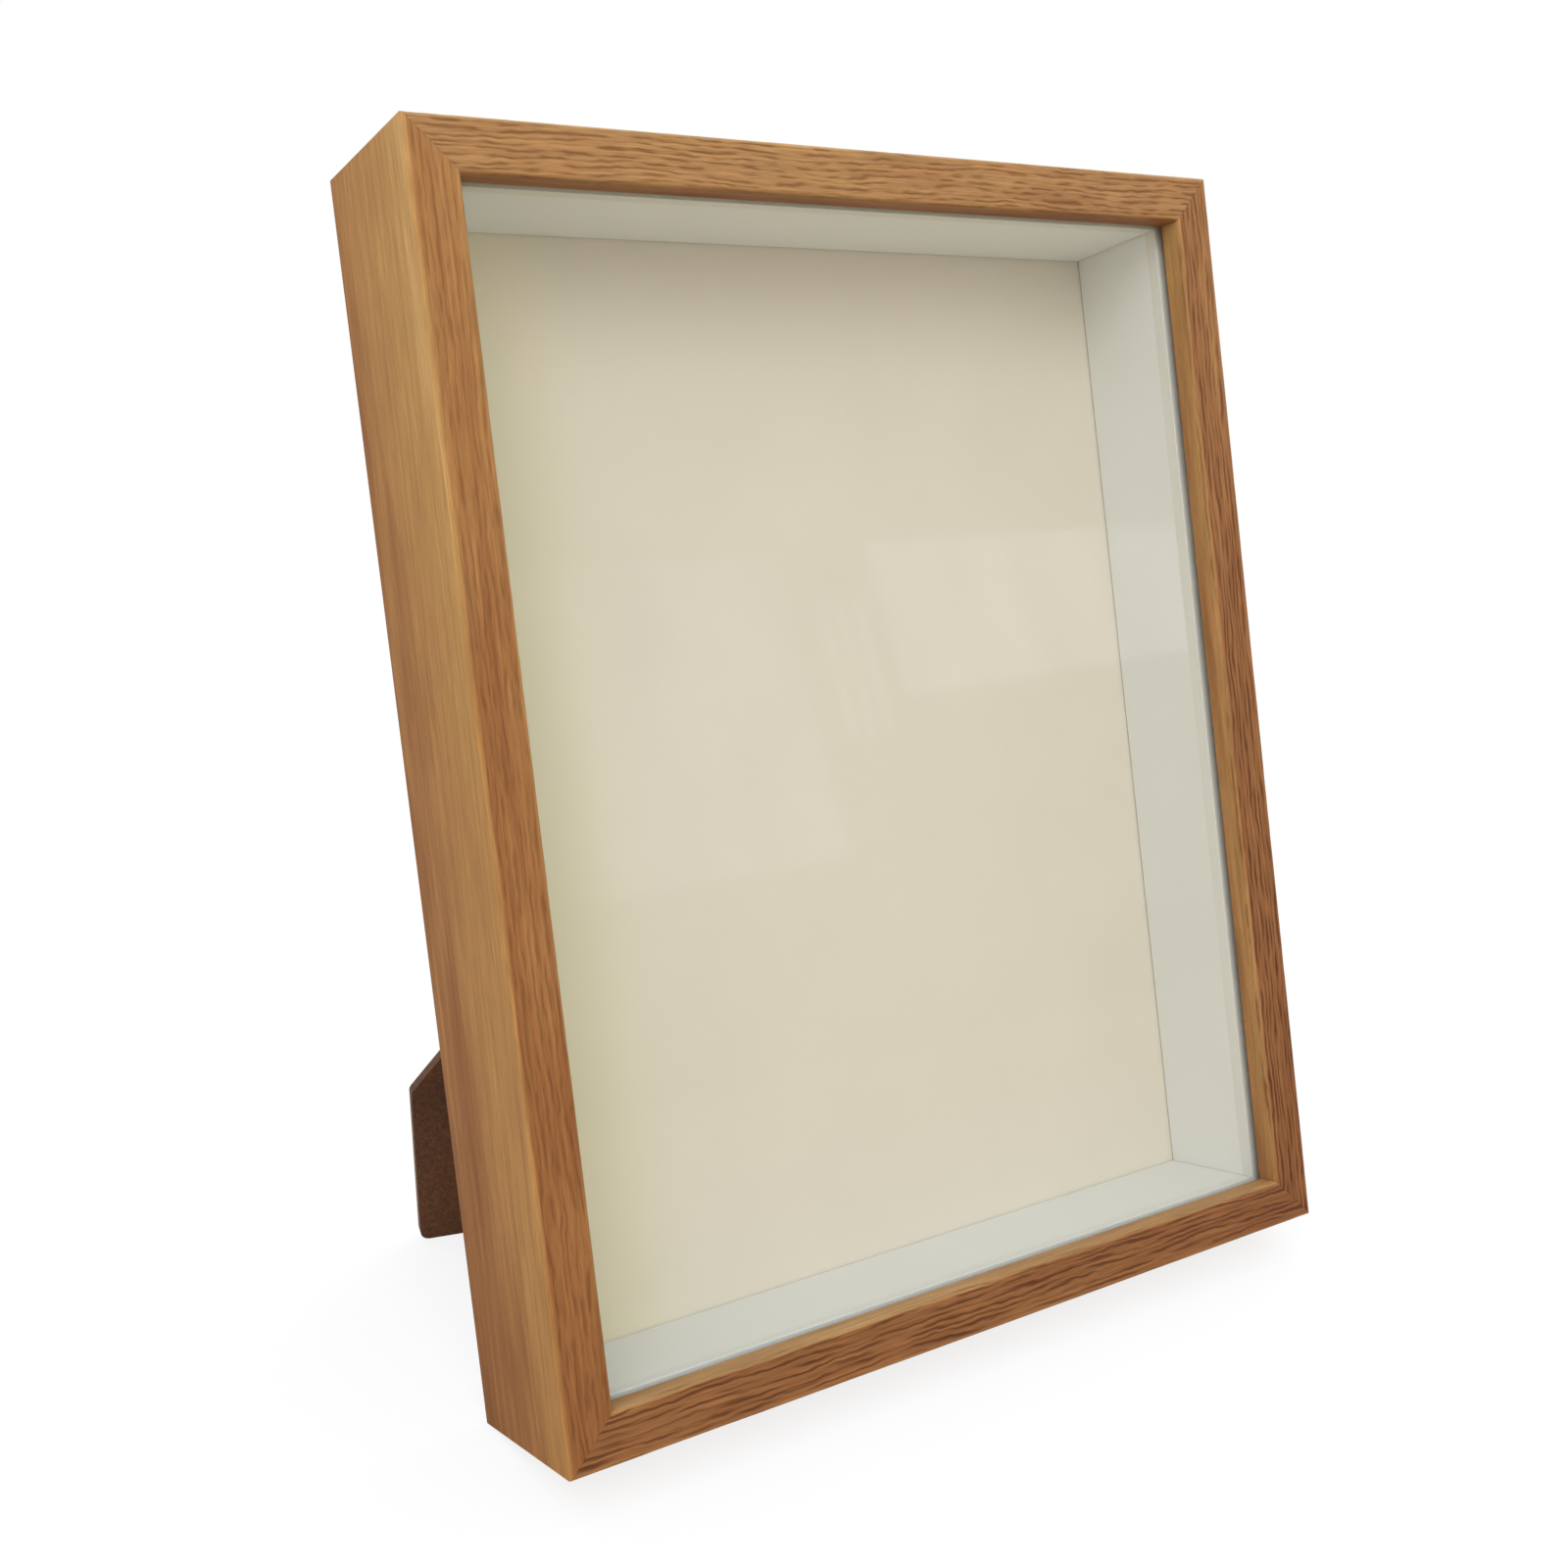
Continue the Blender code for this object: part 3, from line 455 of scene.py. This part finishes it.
def moulding_section(lip_painted_light):
    """(inward, backward) points round the L section in metres, how far each is pressed, and how
    much lighter or darker than the front each face is painted.  This is painted light and shade:
    darker in the rebate and at the lip's rear, the lip lighter or darker by which way it faces,
    and the outer side lighter near the front.

    The walk starts in the rebate, runs up the lip and its rounded arris, across the front, round
    the outer arris, down the side and back along the inner wall.  Only the front is stepped
    finely enough to carry pores, so the sides have none.
    """
    soft = 0.86 * MM                 # keeps the round inside the CAD's 0.5 mm chamfer
    fine, coarse = 0.18 * MM, 1.6 * MM
    # each part: its points, how far it is pressed, and its painted light and shade at both ends
    parts = [
        (stretch((WALL, LIP), (FACE, LIP), coarse / 2), 0.0, (-0.3, -0.3)),
        (stretch((FACE, LIP), (FACE, soft), 0.6 * MM), 0.1, (lip_painted_light - 0.15, lip_painted_light)),
        (arc((FACE - soft, soft), soft, 0, -90, 4), 0.6, (lip_painted_light, 0.12)),
        (stretch((FACE - soft, 0), (soft, 0), fine), 1.0, (0.0, 0.0)),
        (arc((soft, soft), soft, 270, 180, 4), 0.5, (0.08, 0.3)),
        (stretch((0, soft), (0, DEPTH - soft), coarse / 2), 0.0, (0.3, -0.04)),
        (arc((soft, DEPTH - soft), soft, 180, 90, 3), 0.0, (-0.1, -0.1)),
        (stretch((soft, DEPTH), (WALL, DEPTH), coarse), 0.0, (-0.1, -0.1)),
        (stretch((WALL, DEPTH), (WALL, LIP), 2 * coarse), 0.0, (-0.3, -0.3)),
    ]
    points = np.concatenate([part for part, _, _ in parts])
    pressed = np.concatenate([np.full(len(part), share) for part, share, _ in parts])
    lighter = np.concatenate([np.linspace(*ends, len(part)) for part, _, ends in parts])
    return points, pressed, lighter


def pore_field(along, across, stroke, seed):
    """0 on the ridges to 1 in the pores, over millimetres along and across a member.

    The grain is near-even lines: a raised cosine of the distance across, whose phase wanders
    slowly along the member and ripples every few millimetres.  Noise of its own makes each line
    fade and come back.  Lines 1.4 mm apart carry most of it, and a fainter set 0.75 mm apart
    fills between.
    """
    line = across + 0.9 * drift(along / 48, across / 13, seed) \
        + 0.3 * drift(along / 11, across / 4, seed + 1) \
        + 0.22 * drift(along / 3.2, across / 1.5, seed + 12)

    def lines(pitch, sharpness, length, number):
        phase = line / pitch + 0.5 * drift(along / 19, line / 3.1, number)
        crest = (0.5 + 0.5 * np.cos(2 * np.pi * phase)) ** sharpness
        own = drift(along / length, np.floor(phase + 0.5) * 1.37 + 0.41, number + 1)
        return crest * (0.3 + 0.7 * eased(own, -0.5, 0.35))

    coarse = lines(1.4, 1.5, stroke, seed + 2)
    fine = lines(0.75, 1.3, 0.6 * stroke, seed + 8)
    return np.clip(coarse + 0.44 * fine - 0.05, 0, 1)


def print_field(along, around, seed):
    """How far the print's soft lengthwise bands and clouds are lighter than its mean."""
    wide = drift(along / 90, around / 9, seed + 5)
    thin = drift(along / 45, around / 2.2, seed + 6)
    cloud = drift(along / 30, around / 11, seed + 7)
    fine = drift(along / 16, around / 0.9, seed + 9)
    return 0.06 * wide + 0.06 * thin + 0.05 * cloud + 0.03 * fine


def moulding_member(name, length, start, along_axis, inward_axis, shades, depths, lip_painted_light,
                    amber, stroke, seed):
    """One mitred member, from its left end when its outer edge is held low.

    A point of the section at inward distance u runs from u to length - u, so both ends are cut at
    45 degrees.  Each point is pressed in along the section's normal by up to 0.1 mm in a pore.
    The print's tone, with a painted shade that darkens it towards the bottom and right of the
    frame, and how strongly its pores are inked, each run from the first value to the second along
    the member.  The lip argument is the lip's painted light or shade.  amber casts its print
    towards yellow.
    """
    relief = 0.10 * MM
    clear = 0.03 * MM                # a hairline at the mitre
    row_step = 0.45 * MM             # keeps a stile under 200,000 triangles
    usual = 0.3                      # pore depth that a surface without pores is inked as
    section, pressed, lighter = moulding_section(lip_painted_light)
    before, after = np.roll(section, 1, 0), np.roll(section, -1, 0)
    run = after - before
    normal = unit_rows(np.stack([run[:, 1], -run[:, 0]], -1))
    inwards = normal * -np.sign(np.sum(normal * (section - section.mean(0))) or 1.0)
    around = np.concatenate([[0], np.cumsum(np.linalg.norm(np.diff(section, axis=0), axis=1))])
    rows = int(length / row_step)
    share = np.linspace(0, 1, rows)[:, None]

    inset = section[None, :, 0] + clear
    along = inset + share * (length - 2 * inset)
    around = around[None] + 0 * along
    pores = pore_field(along / MM, around / MM, stroke, seed)
    depth = relief * pores * pressed
    inward = section[None, :, 0] + inwards[None, :, 0] * depth
    backward = section[None, :, 1] + inwards[None, :, 1] * depth
    along = inward + clear + share * (length - 2 * (inward + clear))
    points = (np.asarray(start) + along[..., None] * along_axis
              + inward[..., None] * inward_axis + backward[..., None] * np.array([0, 1.0, 0]))

    figure = print_field(along / MM, around / MM, seed) * (1.6 - 0.6 * pressed)[None]
    # the print's tone and figure, plus a painted shade along the member and the section's painted
    # light and shade on each face
    shade = shades[0] + (shades[1] - shades[0]) * along / length + lighter[None] + figure
    inked = depths[0] + (depths[1] - depths[0]) * along / length
    shown = inked * (usual + (pores - usual) * np.clip(pressed * 1.2, 0, 1)[None])
    place = np.stack([along, around, 0 * along], -1)
    values = {"pores": np.clip(shown, 0, 1), "shade": np.clip(shade, 0, 1),
              "amber": amber * (1 - 0.25 * pressed)[None] + 0 * along, "strip": place}
    made = surface(name, points @ BOX, capped=True, values=values)
    return fitted(made, OAK, "frame", "oak_foil", name.replace("oak_", ""))


across, upward = np.array([1.0, 0, 0]), np.array([0, 0, 1.0])
wide, tall = RIGHT_SIDE - LEFT, TOP - BOTTOM
# start, its two axes, the print's tone with a painted shade at both ends (darker towards the
# bottom and right), the inking at both ends, the lip's painted light, amber cast, stroke, seed
moulding_member("oak_rail_bottom", wide, (LEFT, FRONT, BOTTOM), across, upward,
                (0.45, 0.38), (0.95, 0.95), 0.45, 0.0, 13.0, 11)
moulding_member("oak_stile_right", tall, (RIGHT_SIDE, FRONT, BOTTOM), upward, -across,
                (0.35, 0.54), (1.15, 0.75), 0.35, 0.2, 10.0, 23)
moulding_member("oak_rail_top", wide, (RIGHT_SIDE, FRONT, TOP), -across, -upward,
                (0.63, 0.69), (0.78, 0.74), -0.1, 0.0, 6.0, 37)
moulding_member("oak_stile_left", tall, (LEFT, FRONT, TOP), -upward, across,
                (0.64, 0.39), (0.44, 0.58), 0.1, 0.9, 7.0, 41)

for corner in ("bottom_left", "bottom_right", "top_right", "top_left"):
    flush = Vector(BACK) * (GAP + 0.04 * MM)
    fitted(softened(f"v_nail_{corner}", f"corner_nail_{corner}", 0.05 * MM, flush),
           ZINC, "frame", "zinc_steel", f"v_nail_{corner}")


# ---- what the moulding holds --------------------------------------------------------------
NODES["glass_pane"].data.materials.clear()
NODES["glass_pane"].data.materials.append(GLASS)
for side in ("left", "right", "bottom", "top"):
    fitted(softened(f"spacer_{side}", f"white_spacer_{side}", 0.15 * MM),
           WHITE_CARD, "frame", "spacer_white", f"spacer_{side}")
fitted(softened("display_board", "cream_board", 0.1 * MM),
       CREAM_CARD, "frame", "display_cream", "display_board")
fitted(softened("back_board", "hardboard_back", 0.25 * MM),
       HARDBOARD, "frame", "brown_hardboard", "back_board")
fitted(softened("easel_leg", "hardboard_leg", 0.35 * MM),
       HARDBOARD, "leg", "brown_hardboard", "easel_leg")
fitted(softened("hinge_board_leaf", "hinge_leaf_on_board", 0.12 * MM),
       ZINC, "frame", "zinc_steel", "hinge_board_leaf")
fitted(softened("hinge_leg_leaf", "hinge_leaf_on_leg", 0.12 * MM),
       ZINC, "leg", "zinc_steel", "hinge_leg_leaf")
fitted(softened("hinge_pin", "hinge_pin_rod", 0.15 * MM),
       ZINC, "frame", "zinc_steel", "hinge_pin")
for way in ("portrait", "landscape"):
    fitted(softened(f"hanger_{way}", f"sawtooth_hanger_{way}", 0.1 * MM),
           BRASS, "frame", "brass_plated_steel", f"hanger_{way}")


# ---- screws, rivets and nails -------------------------------------------------------------
def turned(name, node_name, axes, profile, recess=0.0):
    """A turned piece: (radius, height) points from the crown down to the tip, spun full circle.

    Both are in metres, and a height is 0 at the crown, the CAD node's far end along the second
    axis, and negative below it.  recess sinks a cross into the crown: two soft-edged trenches.
    """
    low, high = span(node_name, axes)
    centre = (low + high) / 2
    radius, height = np.array(profile).T
    angle = np.linspace(0, 2 * np.pi, 64, endpoint=False)
    x = radius[:, None] * np.cos(angle)
    z = radius[:, None] * np.sin(angle)
    y = height[:, None] + 0 * x
    if recess:
        arm = radius.max() * 0.58
        narrow, far = np.minimum(abs(x), abs(z)), np.maximum(abs(x), abs(z))
        bar = (1 - eased(narrow, 0.2 * MM, 0.5 * MM)) * (1 - eased(far, arm * 0.85, arm * 1.1))
        crown = np.arange(len(radius))[:, None] < np.argmax(radius)
        y = y - recess * bar * crown
    points = np.stack([centre[0] + x, high[1] + y, centre[2] + z], -1)
    return surface(name, points @ axes, smooth_angle=50)


def domed_head(radius, rise, rim, count=14):
    """Crown of a head: (radius, height) from its top pole to its rim, a flattened half ellipse."""
    turn = np.linspace(0, np.pi / 2, count)
    return [(radius * math.sin(t) ** 0.9, (rise - rim) * (math.cos(t) - 1)) for t in turn]


def shank(head_radius, head_height, radius, length):
    """From the rim down the side of the head, across its underside and down the shank to a tip.

    The underside stays a hairline clear of the plate it holds, so a plate can turn under it.
    """
    seat = -head_height + 0.02 * MM
    return [
        (head_radius, seat + 0.01 * MM), (head_radius - 0.1 * MM, seat),
        (radius, seat), (radius, -length + radius), (0.0, -length)]


def head_and_shank(name, node_name, axes, head_radius, head_height, radius, recess=0.0):
    """A domed head over a plain shank as long as the CAD node."""
    low, high = span(node_name, axes)
    profile = domed_head(head_radius, head_height, head_height * 0.35)
    profile += shank(head_radius, head_height, radius, high[1] - low[1])
    return turned(name, node_name, axes, profile, recess)


# head radius, head height, shank radius and, for the screws, depth of the cross
SCREW = (2.5 * MM, 1.1 * MM, 1.2 * MM, 0.6 * MM)
RIVET = (2.5 * MM, 1.0 * MM, 1.3 * MM)
NAIL = (1.7 * MM, 0.7 * MM, 0.7 * MM)
BUTTONS = range(1, 7)

for number in BUTTONS:
    fitted(head_and_shank(f"cross_screw_{number}", f"button_screw_{number}", BOX, *SCREW),
           ZINC, "frame", "zinc_steel", f"button_screw_{number}")
for label in "ab":
    fitted(head_and_shank(f"leaf_rivet_board_{label}", f"rivet_board_{label}", BOX, *RIVET),
           ZINC, "frame", "zinc_steel", f"rivet_board_{label}")
    fitted(head_and_shank(f"leaf_rivet_leg_{label}", f"rivet_leg_{label}", LEG, *RIVET),
           ZINC, "leg", "zinc_steel", f"rivet_leg_{label}")
    for way in ("portrait", "landscape"):
        fitted(head_and_shank(f"hanger_pin_{way}_{label}", f"hanger_nail_{way}_{label}", BOX,
                              *NAIL),
               BRASS, "frame", "brass_plated_steel", f"hanger_nail_{way}_{label}")


# ---- turn buttons -------------------------------------------------------------------------
def tongue_outline(round_end, tip_end, reach, steps=28):
    """(x, z) points round two circles and the straight sides between them, the tip towards -z.

    The sides carry points too, because the round eye takes its directions from this outline.
    """
    lean = math.asin((round_end - tip_end) / reach)
    over = np.linspace(-lean, math.pi + lean, steps)
    under = np.linspace(math.pi + lean, 2 * math.pi - lean, steps)
    top = round_end * np.stack([np.cos(over), np.sin(over)], -1)
    tip = tip_end * np.stack([np.cos(under), np.sin(under)], -1) - [0, reach]
    side = np.linspace(0, 1, 12)[1:-1, None]
    down = top[-1] + side * (tip[0] - top[-1])
    up = tip[-1] + side * (top[0] - tip[-1])
    return np.concatenate([top, down, tip, up])


def turn_button(number):
    """A stamped tongue with an eye for its screw.

    Each column of the grid runs from the eye along the lower face to the outline, round its
    rolled edge and back along the upper face to the eye, so the plate closes on itself.
    """
    source = f"turn_button_{number}"
    low, high = span(source, BOX)
    pivot = BOX @ np.array(JOINTS[f"button_turn_{number}"]["pos_m"])
    away = ((low + high) / 2 - pivot)[[0, 2]]
    tip = away / np.linalg.norm(away)
    outline = tongue_outline(3.2 * MM, 2.6 * MM, 11.0 * MM)
    facing = unit_rows(outline)
    eye = 1.5 * MM * facing
    thick = high[1] - low[1]
    roll = 0.2 * MM
    edge = np.linspace(-90, 90, 7)
    inset = roll * (1 - np.cos(np.radians(edge)))
    lift = thick / 2 + (thick / 2 - roll) * np.sign(np.sin(np.radians(edge))) \
        + roll * np.sin(np.radians(edge))
    rings = [(eye, 0.0)]
    rings += [(outline - facing * i, h) for i, h in zip(inset, lift)]
    rings += [(eye * 1.06, thick), (eye, thick - 0.1 * MM)]
    plan = np.stack([ring for ring, _ in rings])
    height = np.array([h for _, h in rings])[:, None]
    x = pivot[0] - plan[..., 1] * tip[0] + plan[..., 0] * tip[1]
    z = pivot[2] - plan[..., 1] * tip[1] - plan[..., 0] * tip[0]
    points = np.stack([x, low[1] + height + 0 * x, z], -1)
    made = surface(f"stamped_button_{number}", points @ BOX, loop_rows=True)
    return fitted(made, ZINC, source, "zinc_steel", source)


for number in BUTTONS:
    turn_button(number)


# ---- floor, light and camera --------------------------------------------------------------
def seen_by_camera(tree, seen, otherwise):
    """A shader that differs between what the camera sees and what lights the object."""
    direct = node(tree, "ShaderNodeLightPath").outputs["Is Camera Ray"]
    return node(tree, "ShaderNodeMixShader", {0: direct, 1: otherwise, 2: seen}).outputs[0]


def floor():
    """A wide white matt floor that glows, so shadows on it stay faint.

    It throws back less light than it shows, which keeps downward faces dark.
    """
    glow = 0.8
    made, tree = material("pale_floor")
    place = node(tree, "ShaderNodeTexCoord").outputs["Object"]
    cloud = grain_noise(tree, place, (0.004, 0.004, 0.004), 2.0)
    tone = node(tree, "ShaderNodeMix", {
        0: cloud, 6: colour("#f4f4f4"), 7: colour("#f8f8f8")}, data_type="RGBA")
    paint = node(tree, "ShaderNodeBsdfDiffuse", {"Color": tone.outputs[2]}).outputs[0]
    light = node(tree, "ShaderNodeEmission", {"Color": (1, 1, 1, 1)}).outputs[0]
    bright = node(tree, "ShaderNodeMixShader", {0: glow, 1: paint, 2: light}).outputs[0]
    dim = node(tree, "ShaderNodeBsdfDiffuse", {"Color": colour("#d3c7b0")}).outputs[0]
    output(tree, seen_by_camera(tree, bright, dim))
    half = 6.0
    mesh = bpy.data.meshes.new("floor")
    mesh.from_pydata([(-half, -half, 0), (half, -half, 0), (half, half, 0), (-half, half, 0)],
                     [], [(0, 1, 2, 3)])
    mesh.materials.append(made)
    sheet = bpy.data.objects.new("floor", mesh)
    bpy.context.scene.collection.objects.link(sheet)


def room():
    """An even white room: bright to the camera, softer as a light, strongest overhead."""
    world = bpy.data.worlds.new("white_room")
    bpy.context.scene.world = world
    world.use_nodes = True
    tree = world.node_tree
    tree.nodes.clear()
    way = node(tree, "ShaderNodeTexCoord").outputs["Generated"]
    height = node(tree, "ShaderNodeSeparateXYZ", {0: way}).outputs["Z"]
    level = node(tree, "ShaderNodeMapRange", {
        "Value": height, "From Min": 0.0, "From Max": 1.0, "To Min": 0.57, "To Max": 1.2})
    tint = node(tree, "ShaderNodeValToRGB", {"Fac": height}, [
        (0.0, "#fff4e4"), (0.7, "#f4f7ff")])
    soft = node(tree, "ShaderNodeBackground", {
        "Color": tint.outputs[0], "Strength": level.outputs[0]}).outputs[0]
    seen = node(tree, "ShaderNodeBackground", {"Color": (1, 1, 1, 1)}).outputs[0]
    node(tree, "ShaderNodeOutputWorld", {"Surface": seen_by_camera(tree, seen, soft)})


def soft_sun(name, way, strength, spread, tint):
    """A broad even light that shines along a direction, as from a large diffuser far off."""
    lamp = bpy.data.lights.new(name, "SUN")
    lamp.energy = strength
    lamp.angle = math.radians(spread)
    lamp.color = colour(tint)[:3]
    made = bpy.data.objects.new(name, lamp)
    made.rotation_mode = "QUATERNION"
    made.rotation_quaternion = Vector(way).to_track_quat("-Z", "Y")
    made.visible_glossy = False      # its wide disc would show in the glass
    bpy.context.scene.collection.objects.link(made)


def softbox(name, place, target, size, watts, tint):
    """A square area light that looks at the target."""
    lamp = bpy.data.lights.new(name, "AREA")
    lamp.size = size
    lamp.energy = watts
    lamp.color = colour(tint)[:3]
    made = bpy.data.objects.new(name, lamp)
    made.location = place
    made.rotation_mode = "QUATERNION"
    made.rotation_quaternion = (Vector(target) - Vector(place)).to_track_quat("-Z", "Y")
    made.visible_camera = False
    bpy.context.scene.collection.objects.link(made)


def reflector(name, left, right, low, high, away, strength, taper=0.0):
    """An upright glowing card that shows only as a reflection in the glass and the finishes.

    It stands away in front; taper lowers its bottom edge at the left end.
    """
    made, tree = material(name)
    place = node(tree, "ShaderNodeTexCoord").outputs["Object"]
    folds = grain_noise(tree, place, (0.012, 0.0, 0.002), 3.0)
    glow = node(tree, "ShaderNodeMapRange", {
        "Value": folds, "From Min": 0.3, "From Max": 0.7,
        "To Min": 0.8 * strength, "To Max": 1.2 * strength})
    output(tree, node(tree, "ShaderNodeEmission", {
        "Color": colour("#fffdf8"), "Strength": glow.outputs[0]}).outputs[0])
    mesh = bpy.data.meshes.new(name)
    mesh.from_pydata([(left, -away, low - taper), (right, -away, low), (right, -away, high),
                      (left, -away, high)], [], [(0, 1, 2, 3)])
    mesh.materials.append(made)
    card = bpy.data.objects.new(name, mesh)
    bpy.context.scene.collection.objects.link(card)
    for ray in ("camera", "diffuse", "transmission", "volume_scatter", "shadow"):
        setattr(card, f"visible_{ray}", False)


def camera(place, look, roll, lens, shift):
    """A camera at the place, looking along a direction, turned by the roll in degrees."""
    data = bpy.data.cameras.new("camera")
    data.lens = lens
    data.sensor_width = 36.0
    data.shift_x, data.shift_y = shift
    data.clip_start, data.clip_end = 0.01, 50.0
    made = bpy.data.objects.new("camera", data)
    made.location = place
    made.rotation_mode = "QUATERNION"
    made.rotation_quaternion = Vector(look).to_track_quat("-Z", "Y") \
        @ Quaternion((0, 0, 1), math.radians(roll))
    bpy.context.scene.collection.objects.link(made)
    bpy.context.scene.camera = made


floor()
room()
# a sun has its direction, strength and spread in degrees; a softbox its place, target, size
# and watts
soft_sun("left_front_diffuser", (0.40, 0.75, -0.53), 1.3, 42.0, "#fffdfa")
softbox("left_softbox", (-0.75, -0.45, 0.95), (0.0, 0.0, 0.16), 0.6, 2.0, "#ffffff")
softbox("right_rear_softbox", (1.1, 0.5, 0.8), (0.0, 0.0, 0.14), 0.8, 5.0, "#ffffff")
AWAY = 1.5                           # metres in front, where the reflected cards stand
reflector("broad_screen", 0.62, 1.02, 0.31, 0.72, AWAY, 0.88)
reflector("window_band", 1.17, 2.40, 0.56, 0.73, AWAY, 1.12, 0.05)
for slat in range(3):
    reflector(f"window_slat_{slat + 1}", 1.065 + 0.03 * slat, 1.077 + 0.03 * slat, 0.46, 0.66,
              AWAY, 1.05)
camera((-0.24616, -0.33482, 0.22702), (0.51026, 0.82352, -0.24788), 0.344, 39.682,
       (0.0479, 0.0149))
bpy.context.scene.view_settings.view_transform = "Standard"
